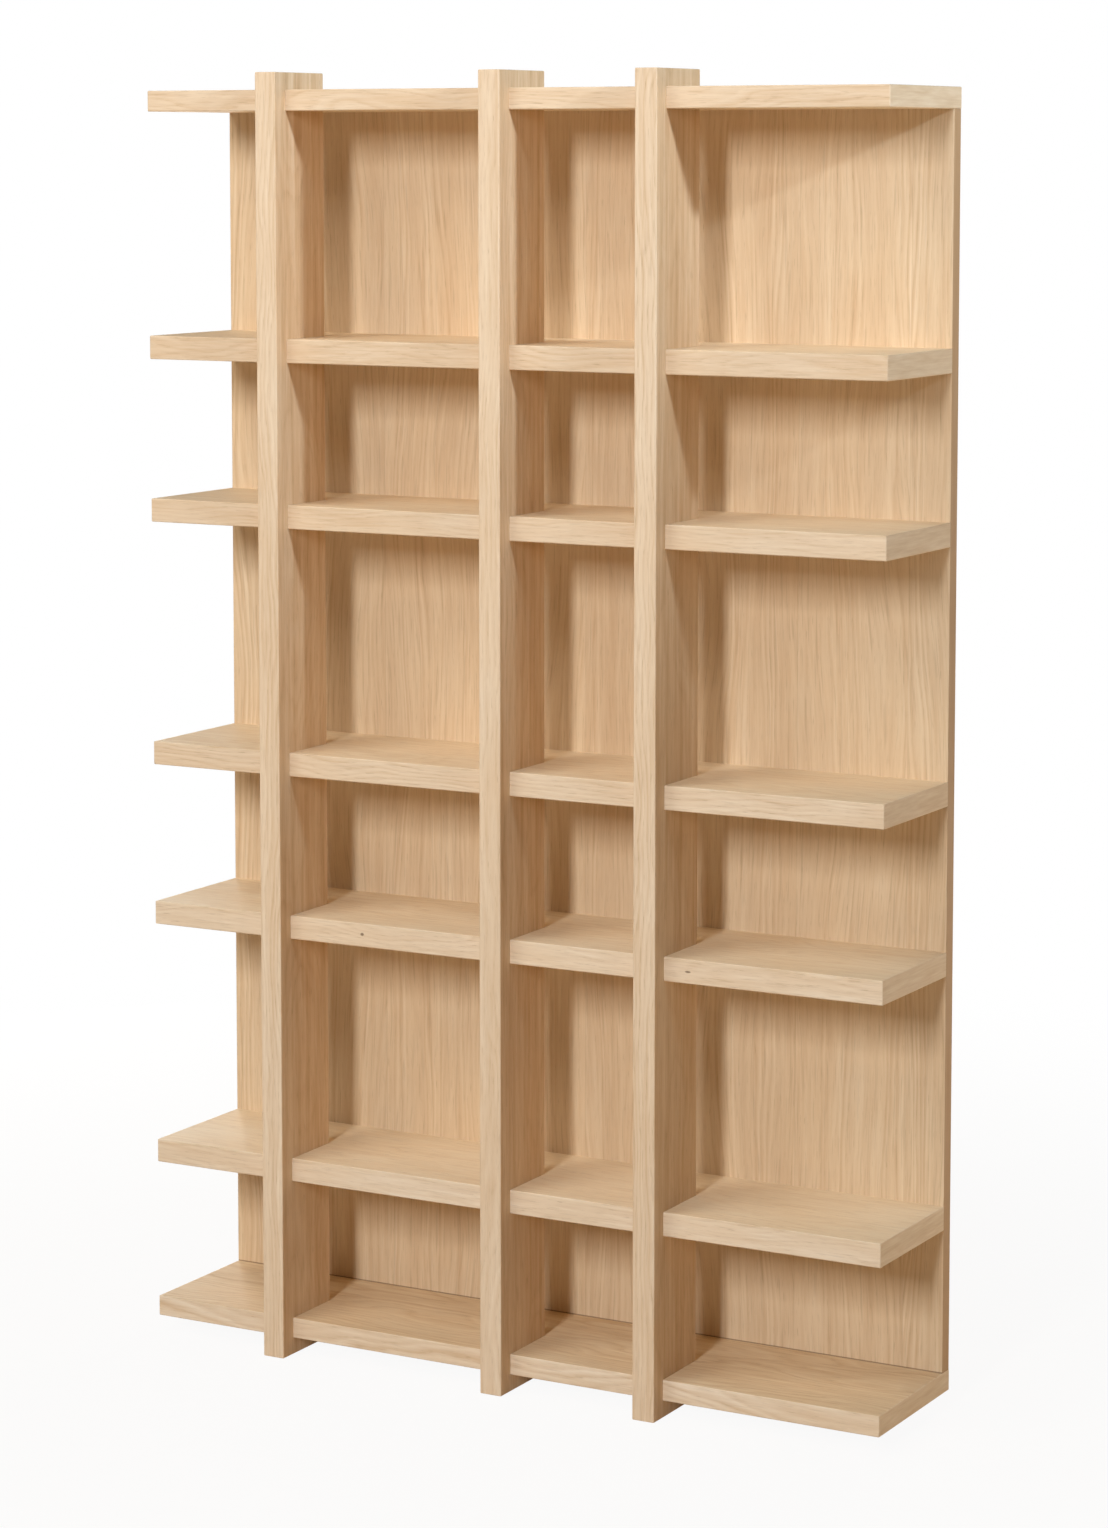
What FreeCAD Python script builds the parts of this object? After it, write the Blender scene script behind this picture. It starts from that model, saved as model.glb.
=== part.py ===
import FreeCAD, Part
import os
import re
from math import asin, cos, pi, sin

import Sketcher
from FreeCAD import Vector

# A wall shelf of oak-veneered boards. Three uprights cross seven long boards in half-lap joints,
# and a back panel closes the rear between the top board and the bottom board.
# X runs along the shelf to the right, Y runs back to the wall and Z runs up. The origin is the
# centre of the panel's rear face, which lies on the wall.

SIZES = (
    ("left_overhang", 190, "left end of the long boards to the left upright"),
    ("wide_bay", 310, "clear width between left and middle upright"),
    ("narrow_bay", 196, "clear width between middle and right upright"),
    ("right_overhang", 308, "right upright to the right end of the long boards"),
    ("tall_gap", 304, "clear height of the first, third and fifth row from the top"),
    ("low_gap", 191, "clear height of the second, fourth and sixth row"),
    ("shelf_depth", 200, "front edge of a shelf to the back panel"),
    ("shelf_thickness", 32, "thickness of the five shelves"),
    ("outer_board_thickness", 28, "thickness of the top and the bottom board"),
    ("panel_thickness", 22, "thickness of the back panel"),
    ("upright_thickness", 32, "thickness of the uprights"),
    ("upright_depth", 120, "front to rear edge of an upright"),
    ("upright_proud", 25, "how far an upright stands out before the shelf fronts"),
    ("upright_overrun", 23, "how far an upright reaches past each outer board"),
    ("notch_depth", 48, "depth of the half-lap notch in a long board's front edge"),
    ("lap_clearance", 0.15, "play beside an upright in its notch and above a board in its slot"),
    ("edge_ease", 1.5, "radius of the eased board edges"),
    ("screws_per_shelf", 5, "screws through the panel into each shelf"),
    ("screw_end_distance", 70, "end of a shelf to its first screw"),
    ("screw_length", 60, "length of a shelf screw"),
    ("screw_head", 9, "head diameter of a shelf screw"),
    ("screw_shank", 4.5, "shank diameter of a shelf screw"),
    ("screw_tip", 5, "length of a screw's pointed tip"),
    ("screw_recess", 4.4, "width of the cross recess in a shelf screw's head"),
    ("screw_recess_depth", 1.8, "depth of that recess"),
    ("recess_wing", 1.1, "thickness of the four wings of a cross recess"),
    ("dowels_per_board", 5, "dowels between the panel and each outer board"),
    ("dowel_end_distance", 110, "end of an outer board to its first dowel"),
    ("dowel_length", 40, "length of a dowel"),
    ("dowel_in_board", 16, "part of a dowel that sits in the outer board"),
    ("dowel_diameter", 8, "diameter of a dowel"),
    ("dowel_bevel", 1, "bevel at the ends of a dowel"),
    ("bore_clearance", 0.1, "play around a screw or dowel in its bore"),
    ("bore_end_room", 1, "free depth past the end of a screw or dowel"),
    ("hanger_width", 40, "width of a keyhole plate"),
    ("hanger_height", 80, "height of a keyhole plate"),
    ("hanger_thickness", 2.5, "thickness of a keyhole plate"),
    ("hanger_corner", 4, "corner radius of a keyhole plate"),
    ("hanger_clearance", 0.3, "play around a keyhole plate in its recess"),
    ("hanger_side_distance", 150, "side of the panel to the centre of a keyhole plate"),
    ("hanger_top_distance", 110, "top of the panel to the centre of the upper plates"),
    ("hanger_bottom_distance", 110, "bottom of the panel to the centre of the lower plates"),
    ("keyhole_entry", 13, "diameter of a keyhole's entry"),
    ("keyhole_slot", 7, "width of a keyhole's slot"),
    ("keyhole_rise", 18, "entry centre to the centre of the slot's round end"),
    ("head_room", 2, "room around a wall screw's head behind a plate"),
    ("head_depth", 8, "depth of that room behind a plate"),
    ("plate_screw_inset", 8, "edge of a plate to its screws"),
    ("plate_screw_length", 16, "length of a plate screw"),
    ("plate_screw_head", 7, "head diameter of a plate screw"),
    ("plate_screw_shank", 3.5, "shank diameter of a plate screw"),
    ("plate_screw_tip", 3, "length of a plate screw's pointed tip"),
    ("plate_screw_recess", 3.4, "width of the cross recess in a plate screw's head"),
    ("plate_screw_recess_depth", 1.4, "depth of the recess in a plate screw's head"),
)

LENGTH = "(left_overhang + wide_bay + narrow_bay + right_overhang + 3 * upright_thickness)"
PANEL_HEIGHT = "(3 * tall_gap + 3 * low_gap + 5 * shelf_thickness)"
PANEL_TOP = f"({PANEL_HEIGHT} / 2)"
PANEL_BOTTOM = f"(-{PANEL_HEIGHT} / 2)"
SHELF_FRONT = "(-panel_thickness - shelf_depth)"
UPRIGHT_FRONT = f"({SHELF_FRONT} - upright_proud)"
UPRIGHT_BOTTOM = f"({PANEL_BOTTOM} - outer_board_thickness - upright_overrun)"
UPRIGHT_HEIGHT = f"({PANEL_HEIGHT} + 2 * outer_board_thickness + 2 * upright_overrun)"

# Left faces of the uprights.
UPRIGHTS = {
    "left_upright": f"(-{LENGTH} / 2 + left_overhang)",
    "middle_upright": f"(-{LENGTH} / 2 + left_overhang + upright_thickness + wide_bay)",
    "right_upright": f"({LENGTH} / 2 - right_overhang - upright_thickness)",
}

# Undersides of the shelves, counted from the top with the gap above each.
GAP_ABOVE = {
    "second_shelf": "tall_gap",
    "third_shelf": "low_gap",
    "fourth_shelf": "tall_gap",
    "fifth_shelf": "low_gap",
    "sixth_shelf": "tall_gap",
}
SHELVES = {}
underside = PANEL_TOP
for shelf_name, gap in GAP_ABOVE.items():
    underside = f"{underside} - {gap} - shelf_thickness"
    SHELVES[shelf_name] = f"({underside})"
TOP_BOARD = PANEL_TOP
BOTTOM_BOARD = f"({PANEL_BOTTOM} - outer_board_thickness)"

# Rows of like features: direction, distance from first to last, and count.
SCREW_ROW = ("X_Axis", f"{LENGTH} - 2 * screw_end_distance", "screws_per_shelf")
DOWEL_ROW = ("X_Axis", f"{LENGTH} - 2 * dowel_end_distance", "dowels_per_board")
HANGER_GRID = (
    ("X_Axis", f"{LENGTH} - 2 * hanger_side_distance", "2"),
    ("Z_Axis", f"{PANEL_HEIGHT} - hanger_top_distance - hanger_bottom_distance", "2"),
)
PLATE_SCREW_GRID = (
    ("X_Axis", "hanger_width - 2 * plate_screw_inset", "2"),
    ("Z_Axis", "hanger_height - 2 * plate_screw_inset", "2"),
)

FIRST_SCREW_X = f"(-{LENGTH} / 2 + screw_end_distance)"
FIRST_DOWEL_X = f"(-{LENGTH} / 2 + dowel_end_distance)"
HANGER_LEFT = f"(-{LENGTH} / 2 + hanger_side_distance)"
HANGER_RIGHT = f"({LENGTH} / 2 - hanger_side_distance)"
HANGER_LOW = f"({PANEL_BOTTOM} + hanger_bottom_distance)"
HANGER_HIGH = f"({PANEL_TOP} - hanger_top_distance)"
FIRST_PLATE_SCREW_X = "(-hanger_width / 2 + plate_screw_inset)"
FIRST_PLATE_SCREW_Z = "(-hanger_height / 2 + plate_screw_inset)"
HANGERS = {
    "lower_left_hanger": (HANGER_LEFT, HANGER_LOW),
    "lower_right_hanger": (HANGER_RIGHT, HANGER_LOW),
    "upper_left_hanger": (HANGER_LEFT, HANGER_HIGH),
    "upper_right_hanger": (HANGER_RIGHT, HANGER_HIGH),
}

COUNTERSINK_ANGLE = 90
SAME_PLANE = 0.001

doc = FreeCAD.newDocument("wall_shelf")


def make_sheet():
    """The sheet of driving sizes, with what each one measures beside it."""
    sheet = doc.addObject("Spreadsheet::Sheet", "sizes")
    for row, (alias, value, meaning) in enumerate(SIZES, 1):
        sheet.set(f"A{row}", meaning)
        sheet.set(f"B{row}", str(value))
        sheet.setAlias(f"B{row}", alias)
    doc.recompute()
    return sheet


def bound(expression):
    """The expression with every size read from the sheet."""
    return re.sub(r"[a-z_]+", r"sizes.\g<0>", expression)


def place(thing, path, **coordinates):
    """Tie coordinates of a placement to the sheet."""
    for axis, expression in coordinates.items():
        thing.setExpression(f"{path}.Base.{axis}", bound(expression))


def new_body(name, **position):
    body = doc.addObject("PartDesign::Body", name)
    body.Label = name
    place(body, "Placement", **position)
    return body


def origin_feature(body, role):
    return next(part for part in body.Origin.OriginFeatures if part.Role == role)


def new_sketch(body, purpose, plane, **shift):
    """A sketch on one of the body's own planes, moved along the plane (x, y) and off it (z)."""
    sketch = body.newObject("Sketcher::SketchObject", f"{body.Name}_{purpose}")
    sketch.AttachmentSupport = [(origin_feature(body, plane), "")]
    sketch.MapMode = "FlatFace"
    place(sketch, "AttachmentOffset", **shift)
    return sketch


def dimension(sketch, kind, elements, expression):
    """A dimension of the sketch that follows the sheet."""
    number = sketch.addConstraint(Sketcher.Constraint(kind, *elements, 1.0))
    sketch.setExpression(f"Constraints[{number}]", bound(expression))


def constrain(sketch, kind, *elements):
    sketch.addConstraint(Sketcher.Constraint(kind, *elements))


def add_outline(sketch, corners):
    """A closed outline of straight lines through corners given as pairs of expressions."""
    count = len(corners)
    first = sketch.GeometryCount
    start = [Vector(cos(2 * pi * n / count), sin(2 * pi * n / count), 0) for n in range(count)]
    for number in range(count):
        line = Part.LineSegment(start[number], start[(number + 1) % count])
        sketch.addGeometry(line, False)
    for number, (across, up) in enumerate(corners):
        line = first + number
        constrain(sketch, "Coincident", line, 2, first + (number + 1) % count, 1)
        dimension(sketch, "DistanceX", (-1, 1, line, 1), across)
        dimension(sketch, "DistanceY", (-1, 1, line, 1), up)


def add_rectangle(sketch, left, bottom, width, height):
    right = f"{left} + {width}"
    top = f"{bottom} + {height}"
    add_outline(sketch, [(left, bottom), (right, bottom), (right, top), (left, top)])


def add_circle(sketch, diameter):
    """A circle about the sketch's origin."""
    circle = sketch.addGeometry(Part.Circle(Vector(0, 0, 0), Vector(0, 0, 1), 1), False)
    constrain(sketch, "Coincident", circle, 3, -1, 1)
    dimension(sketch, "Diameter", (circle,), diameter)


def arc(centre_x, centre_y, radius, start, end):
    circle = Part.Circle(Vector(centre_x, centre_y, 0), Vector(0, 0, 1), radius)
    return Part.ArcOfCircle(circle, start, end)


def add_rounded_rectangle(sketch, width, height, radius):
    """A rectangle with round corners about the sketch's origin."""
    start = (
        Part.LineSegment(Vector(-3, -5, 0), Vector(3, -5, 0)),
        arc(3, -4, 1, -pi / 2, 0),
        Part.LineSegment(Vector(4, -4, 0), Vector(4, 4, 0)),
        arc(3, 4, 1, 0, pi / 2),
        Part.LineSegment(Vector(3, 5, 0), Vector(-3, 5, 0)),
        arc(-3, 4, 1, pi / 2, pi),
        Part.LineSegment(Vector(-4, 4, 0), Vector(-4, -4, 0)),
        arc(-3, -4, 1, pi, 3 * pi / 2),
    )
    bottom, corner, right, corner_2, top, corner_3, left, corner_4 = [
        sketch.addGeometry(piece, False) for piece in start
    ]
    for piece in range(len(start)):
        constrain(sketch, "Tangent", piece, 2, (piece + 1) % len(start), 1)
    for line in (bottom, top):
        constrain(sketch, "Horizontal", line)
    for line in (right, left):
        constrain(sketch, "Vertical", line)
    for other in (corner_2, corner_3, corner_4):
        constrain(sketch, "Equal", corner, other)
    dimension(sketch, "Radius", (corner,), radius)
    dimension(sketch, "DistanceX", (-1, 1, left, 1), f"-({width}) / 2")
    dimension(sketch, "DistanceX", (-1, 1, right, 1), f"({width}) / 2")
    dimension(sketch, "DistanceY", (-1, 1, bottom, 1), f"-({height}) / 2")
    dimension(sketch, "DistanceY", (-1, 1, top, 1), f"({height}) / 2")


def add_keyhole(sketch):
    """Round entry with a narrower slot that rises from it to a round end."""
    entry_radius = sizes.get("keyhole_entry") / 2
    slot_radius = sizes.get("keyhole_slot") / 2
    rise = sizes.get("keyhole_rise")
    mouth = asin(slot_radius / entry_radius)
    mouth_height = entry_radius * cos(mouth) - rise / 2
    start = (
        arc(0, -rise / 2, entry_radius, pi / 2 + mouth, 5 * pi / 2 - mouth),
        Part.LineSegment(Vector(slot_radius, mouth_height, 0), Vector(slot_radius, rise / 2, 0)),
        arc(0, rise / 2, slot_radius, 0, pi),
        Part.LineSegment(Vector(-slot_radius, rise / 2, 0), Vector(-slot_radius, mouth_height, 0)),
    )
    entry, right, end, left = [sketch.addGeometry(piece, False) for piece in start]
    constrain(sketch, "Coincident", entry, 2, right, 1)
    constrain(sketch, "Tangent", right, 2, end, 1)
    constrain(sketch, "Tangent", end, 2, left, 1)
    constrain(sketch, "Coincident", left, 2, entry, 1)
    constrain(sketch, "Vertical", right)
    constrain(sketch, "Vertical", left)
    constrain(sketch, "PointOnObject", entry, 3, -2)
    constrain(sketch, "PointOnObject", end, 3, -2)
    dimension(sketch, "Diameter", (entry,), "keyhole_entry")
    dimension(sketch, "Diameter", (end,), "keyhole_slot")
    dimension(sketch, "DistanceY", (-1, 1, entry, 3), "-keyhole_rise / 2")
    dimension(sketch, "DistanceY", (-1, 1, end, 3), "keyhole_rise / 2")


def add_cross(sketch, width):
    """A cross of four wings about the sketch's origin."""
    far = f"{width} / 2"
    near = "recess_wing / 2"
    corners = []
    for across, up in ((1, 1), (-1, 1), (-1, -1), (1, -1)):
        wing = [(far, near), (near, near), (near, far)]
        if across * up < 0:
            wing.reverse()
        corners += [(f"{across} * {x}", f"{up} * {y}") for x, y in wing]
    add_outline(sketch, corners)


def pad(body, sketch, length):
    feature = body.newObject("PartDesign::Pad", f"{sketch.Name}_pad")
    feature.Profile = sketch
    feature.setExpression("Length", bound(length))
    doc.recompute()
    return feature


def confirm_cut(feature, volume_before):
    """Stop when a cut has missed its body."""
    doc.recompute()
    if feature.Shape.Volume >= volume_before:
        raise RuntimeError(f"{feature.Name} removes nothing")


def pocket(body, sketch, depth=None, against_normal=True):
    """Cut the sketch to a depth, or right through where none is given."""
    volume_before = body.Tip.Shape.Volume
    feature = body.newObject("PartDesign::Pocket", f"{sketch.Name}_cut")
    feature.Profile = sketch
    feature.Reversed = not against_normal
    if depth:
        feature.setExpression("Length", bound(depth))
    else:
        feature.Type = "ThroughAll"
    confirm_cut(feature, volume_before)
    return feature


def countersunk_hole(body, sketch, shank, head):
    """A through hole from the rear, widened for a flat screw head."""
    volume_before = body.Tip.Shape.Volume
    feature = body.newObject("PartDesign::Hole", f"{sketch.Name}_hole")
    feature.Profile = sketch
    doc.recompute()
    feature.Reversed = True
    feature.Threaded = False
    feature.DepthType = "ThroughAll"
    feature.HoleCutType = "Countersink"
    feature.HoleCutCustomValues = True
    feature.HoleCutCountersinkAngle = COUNTERSINK_ANGLE
    feature.setExpression("Diameter", bound(f"{shank} + 2 * bore_clearance"))
    feature.setExpression("HoleCutDiameter", bound(f"{head} + 2 * bore_clearance"))
    confirm_cut(feature, volume_before)
    return feature


def revolve(body, sketch):
    """Turn a half profile about the sketch's upright axis."""
    feature = body.newObject("PartDesign::Revolution", f"{sketch.Name}_turned")
    feature.Profile = sketch
    feature.ReferenceAxis = (sketch, ["V_Axis"])
    doc.recompute()
    return feature


def repeat(body, features, *rows):
    """Repeat features together along each row in turn."""
    repeated = body.newObject("PartDesign::MultiTransform", f"{features[0].Name}_repeated")
    repeated.Originals = features
    steps = []
    for direction, length, count in rows:
        step = body.newObject("PartDesign::LinearPattern", f"{features[0].Name}_row")
        step.Direction = (origin_feature(body, direction), [""])
        step.setExpression("Length", bound(length))
        step.setExpression("Occurrences", bound(count))
        steps.append(step)
    repeated.Transformations = steps
    body.Tip = repeated
    doc.recompute()


def ease_edges(body, *sides):
    """Round every edge where two of the named outer sides of a board meet."""
    base = body.Tip
    box = base.Shape.BoundBox
    planes = {
        "left": (0, box.XMin),
        "right": (0, box.XMax),
        "front": (1, box.YMin),
        "rear": (1, box.YMax),
        "bottom": (2, box.ZMin),
        "top": (2, box.ZMax),
    }
    edges = []
    for number, edge in enumerate(base.Shape.Edges, 1):
        middle = edge.CenterOfGravity
        met = [side for side in sides if abs(middle[planes[side][0]] - planes[side][1]) < SAME_PLANE]
        if len(met) == 2:
            edges.append(f"Edge{number}")
    fillet = body.newObject("PartDesign::Fillet", f"{body.Name}_eased")
    fillet.Base = (base, edges)
    fillet.setExpression("Radius", bound("edge_ease"))
    doc.recompute()


def notched_board(name, thickness, depth, **position):
    """A long board, rear edge at its own y = 0, with a half-lap notch for each upright."""
    body = new_body(name, **position)
    outline = new_sketch(body, "outline", "XY_Plane")
    add_rectangle(outline, f"-{LENGTH} / 2", f"-({depth})", LENGTH, f"({depth})")
    pad(body, outline, thickness)
    notches = new_sketch(body, "notches", "XY_Plane")
    for left_face in UPRIGHTS.values():
        left = f"{left_face} - lap_clearance"
        add_rectangle(notches, left, f"-({depth})", "upright_thickness + 2 * lap_clearance", "notch_depth")
    pocket(body, notches, against_normal=False)
    return body


def make_shelf(name, level):
    body = notched_board(name, "shelf_thickness", "shelf_depth", y="-panel_thickness", z=level)
    bore = new_sketch(body, "screw_bore", "XZ_Plane", x=FIRST_SCREW_X, y="shelf_thickness / 2")
    add_circle(bore, "screw_shank + 2 * bore_clearance")
    cut = pocket(body, bore, "screw_length - panel_thickness + bore_end_room", against_normal=False)
    repeat(body, [cut], SCREW_ROW)
    ease_edges(body, "left", "right", "front", "bottom", "top")
    return body


def make_outer_board(name, level, joint_face, drilled_up):
    """Top or bottom board, which also covers the panel's end and is dowelled to it."""
    body = notched_board(name, "outer_board_thickness", "shelf_depth + panel_thickness", z=level)
    bore = new_sketch(
        body, "dowel_bore", "XY_Plane", x=FIRST_DOWEL_X, y="-panel_thickness / 2", z=joint_face
    )
    add_circle(bore, "dowel_diameter + 2 * bore_clearance")
    cut = pocket(body, bore, "dowel_in_board + bore_end_room", against_normal=not drilled_up)
    repeat(body, [cut], DOWEL_ROW)
    ease_edges(body, "left", "right", "front", "bottom", "top")
    return body


def make_upright(name, left_face):
    """An upright with a slot in its rear edge for every long board."""
    body = new_body(name, x=left_face)
    outline = new_sketch(body, "outline", "YZ_Plane")
    add_rectangle(outline, UPRIGHT_FRONT, UPRIGHT_BOTTOM, "upright_depth", UPRIGHT_HEIGHT)
    pad(body, outline, "upright_thickness")
    slots = new_sketch(body, "slots", "YZ_Plane")
    slot_end = f"{SHELF_FRONT} + notch_depth"
    slot_depth = "(upright_depth - upright_proud - notch_depth)"
    boards = [(level, "shelf_thickness") for level in SHELVES.values()]
    boards += [(level, "outer_board_thickness") for level in (TOP_BOARD, BOTTOM_BOARD)]
    for level, thickness in boards:
        add_rectangle(slots, slot_end, level, slot_depth, f"{thickness} + lap_clearance")
    pocket(body, slots, against_normal=False)
    ease_edges(body, "left", "right", "front", "rear", "bottom", "top")
    return body


def make_panel():
    body = new_body("back_panel")
    outline = new_sketch(body, "outline", "XZ_Plane")
    add_rectangle(outline, f"-{LENGTH} / 2", PANEL_BOTTOM, LENGTH, PANEL_HEIGHT)
    pad(body, outline, "panel_thickness")

    for name, level in SHELVES.items():
        centre = f"{level} + shelf_thickness / 2"
        spot = new_sketch(body, f"{name}_screw", "XZ_Plane", x=FIRST_SCREW_X, y=centre)
        add_circle(spot, "screw_shank")
        hole = countersunk_hole(body, spot, "screw_shank", "screw_head")
        repeat(body, [hole], SCREW_ROW)

    dowel_depth = "dowel_length - dowel_in_board + bore_end_room"
    for end, drilled_down in ((PANEL_TOP, True), (PANEL_BOTTOM, False)):
        bore = new_sketch(body, "dowel_bore", "XY_Plane", x=FIRST_DOWEL_X, y="-panel_thickness / 2", z=end)
        add_circle(bore, "dowel_diameter + 2 * bore_clearance")
        cut = pocket(body, bore, dowel_depth, against_normal=drilled_down)
        repeat(body, [cut], DOWEL_ROW)

    recess = new_sketch(body, "hanger_recess", "XZ_Plane", x=HANGER_LEFT, y=HANGER_LOW)
    add_rounded_rectangle(
        recess,
        "hanger_width + 2 * hanger_clearance",
        "hanger_height + 2 * hanger_clearance",
        "hanger_corner + hanger_clearance",
    )
    cut = pocket(body, recess, "hanger_thickness", against_normal=False)
    repeat(body, [cut], *HANGER_GRID)

    room = new_sketch(body, "head_room", "XZ_Plane", x=HANGER_LEFT, y=HANGER_LOW)
    add_rounded_rectangle(
        room,
        "keyhole_entry + 2 * head_room",
        "keyhole_rise + keyhole_entry + 2 * head_room",
        "keyhole_entry / 2",
    )
    cut = pocket(body, room, "hanger_thickness + head_depth", against_normal=False)
    repeat(body, [cut], *HANGER_GRID)

    pilot = new_sketch(
        body,
        "plate_screw_bore",
        "XZ_Plane",
        x=f"{HANGER_LEFT} + {FIRST_PLATE_SCREW_X}",
        y=f"{HANGER_LOW} + {FIRST_PLATE_SCREW_Z}",
    )
    add_circle(pilot, "plate_screw_shank + 2 * bore_clearance")
    cut = pocket(body, pilot, "plate_screw_length + bore_end_room", against_normal=False)
    repeat(body, [cut], *PLATE_SCREW_GRID, *HANGER_GRID)

    ease_edges(body, "left", "right", "front", "rear")
    return body


def make_hanger(name, centre_x, centre_z):
    """A steel plate, flush with the panel's rear, that hangs on a wall screw by its keyhole."""
    body = new_body(name, x=centre_x, z=centre_z)
    outline = new_sketch(body, "outline", "XZ_Plane")
    add_rounded_rectangle(outline, "hanger_width", "hanger_height", "hanger_corner")
    pad(body, outline, "hanger_thickness")
    keyhole = new_sketch(body, "keyhole", "XZ_Plane")
    add_keyhole(keyhole)
    pocket(body, keyhole, against_normal=False)
    spot = new_sketch(body, "screw", "XZ_Plane", x=FIRST_PLATE_SCREW_X, y=FIRST_PLATE_SCREW_Z)
    add_circle(spot, "plate_screw_shank")
    hole = countersunk_hole(body, spot, "plate_screw_shank", "plate_screw_head")
    repeat(body, [hole], *PLATE_SCREW_GRID)
    return body


def recessed_screw(body, head, shank, length, tip, recess):
    """A countersunk screw, flat head with a cross recess at y = 0 and tip towards the front."""
    profile = new_sketch(body, "profile", "XY_Plane")
    cone_end = f"-({head} - {shank}) / 2"
    corners = [
        ("0", "0"),
        ("0", f"-{length}"),
        (f"{shank} / 2", f"-{length} + {tip}"),
        (f"{shank} / 2", cone_end),
        (f"{head} / 2", "0"),
    ]
    add_outline(profile, corners)
    turned = revolve(body, profile)
    cross = new_sketch(body, "cross", "XZ_Plane")
    add_cross(cross, recess)
    return [turned, pocket(body, cross, f"{recess}_depth", against_normal=False)]


def make_shelf_screws(shelf_name, level):
    body = new_body(f"{shelf_name}_screws", x=FIRST_SCREW_X, z=f"{level} + shelf_thickness / 2")
    screw = recessed_screw(
        body, "screw_head", "screw_shank", "screw_length", "screw_tip", "screw_recess"
    )
    repeat(body, screw, SCREW_ROW)
    return body


def make_hanger_screws():
    body = new_body(
        "hanger_screws",
        x=f"{HANGER_LEFT} + {FIRST_PLATE_SCREW_X}",
        z=f"{HANGER_LOW} + {FIRST_PLATE_SCREW_Z}",
    )
    screw = recessed_screw(
        body,
        "plate_screw_head",
        "plate_screw_shank",
        "plate_screw_length",
        "plate_screw_tip",
        "plate_screw_recess",
    )
    repeat(body, screw, *PLATE_SCREW_GRID, *HANGER_GRID)
    return body


def make_dowels(name, lower_end):
    body = new_body(name, x=FIRST_DOWEL_X, y="-panel_thickness / 2", z=lower_end)
    profile = new_sketch(body, "profile", "XZ_Plane")
    corners = [
        ("0", "0"),
        ("dowel_diameter / 2 - dowel_bevel", "0"),
        ("dowel_diameter / 2", "dowel_bevel"),
        ("dowel_diameter / 2", "dowel_length - dowel_bevel"),
        ("dowel_diameter / 2 - dowel_bevel", "dowel_length"),
        ("0", "dowel_length"),
    ]
    add_outline(profile, corners)
    repeat(body, [revolve(body, profile)], DOWEL_ROW)
    return body


def make_pieces():
    pieces = [make_upright(name, left_face) for name, left_face in UPRIGHTS.items()]
    pieces.append(make_outer_board("top_board", TOP_BOARD, "0", drilled_up=True))
    pieces += [make_shelf(name, level) for name, level in SHELVES.items()]
    pieces.append(make_outer_board("bottom_board", BOTTOM_BOARD, "outer_board_thickness", drilled_up=False))
    pieces.append(make_panel())
    pieces += [make_shelf_screws(name, level) for name, level in SHELVES.items()]
    pieces.append(make_dowels("top_board_dowels", f"{PANEL_TOP} - dowel_length + dowel_in_board"))
    pieces.append(make_dowels("bottom_board_dowels", f"{PANEL_BOTTOM} - dowel_in_board"))
    pieces += [make_hanger(name, *centre) for name, centre in HANGERS.items()]
    pieces.append(make_hanger_screws())
    return pieces


def confirm(pieces):
    """Stop when a feature has failed or a piece has no sound shape."""
    for thing in doc.Objects:
        if {"Invalid", "Error"} & set(thing.State):
            raise RuntimeError(f"{thing.Name} failed: {thing.State}")
    for piece in pieces:
        if piece.Shape.isNull() or not piece.Shape.isValid():
            raise RuntimeError(f"{piece.Label} has no sound shape")


sizes = make_sheet()
shelf_pieces = make_pieces()
doc.recompute()
confirm(shelf_pieces)
os.makedirs("parts", exist_ok=True)
for piece in shelf_pieces:
    piece.Shape.exportStep(f"parts/{piece.Label}.step")
    solids = piece.Shape.Solids
    print(f"{piece.Label}: {len(solids)} solid(s), {piece.Shape.Volume / 1000:.1f} cm3")
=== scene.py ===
import math

import bpy
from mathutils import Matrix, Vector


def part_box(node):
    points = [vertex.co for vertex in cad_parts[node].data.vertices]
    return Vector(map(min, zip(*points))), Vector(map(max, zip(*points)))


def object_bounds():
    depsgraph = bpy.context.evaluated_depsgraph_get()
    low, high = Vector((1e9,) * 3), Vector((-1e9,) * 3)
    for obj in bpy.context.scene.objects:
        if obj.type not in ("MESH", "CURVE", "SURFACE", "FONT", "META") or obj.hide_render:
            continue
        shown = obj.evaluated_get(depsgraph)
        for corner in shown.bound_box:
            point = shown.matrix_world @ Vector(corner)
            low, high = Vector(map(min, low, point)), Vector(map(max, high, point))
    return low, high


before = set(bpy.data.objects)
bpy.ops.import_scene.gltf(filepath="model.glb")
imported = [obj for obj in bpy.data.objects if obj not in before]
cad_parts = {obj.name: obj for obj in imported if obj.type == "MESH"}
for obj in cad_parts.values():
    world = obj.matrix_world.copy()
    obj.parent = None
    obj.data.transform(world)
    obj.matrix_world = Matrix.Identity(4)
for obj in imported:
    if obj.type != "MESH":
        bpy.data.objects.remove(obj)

cad_low, cad_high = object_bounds()
bpy.ops.object.select_all(action="DESELECT")
scene = bpy.context.scene
scene.view_settings.view_transform = "Standard"

# Helpers that lay out a finish. Each adds one node or a short run of nodes and returns its output.


def feed(tree, socket, value):
    """Links a socket to another node's output, or sets it to a plain value."""
    if isinstance(value, bpy.types.NodeSocket):
        tree.links.new(value, socket)
    else:
        socket.default_value = value


def sum_up(tree, operation, first, second=0.0):
    node = tree.nodes.new("ShaderNodeMath")
    node.operation = operation
    feed(tree, node.inputs[0], first)
    feed(tree, node.inputs[1], second)
    return node.outputs[0]


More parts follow.
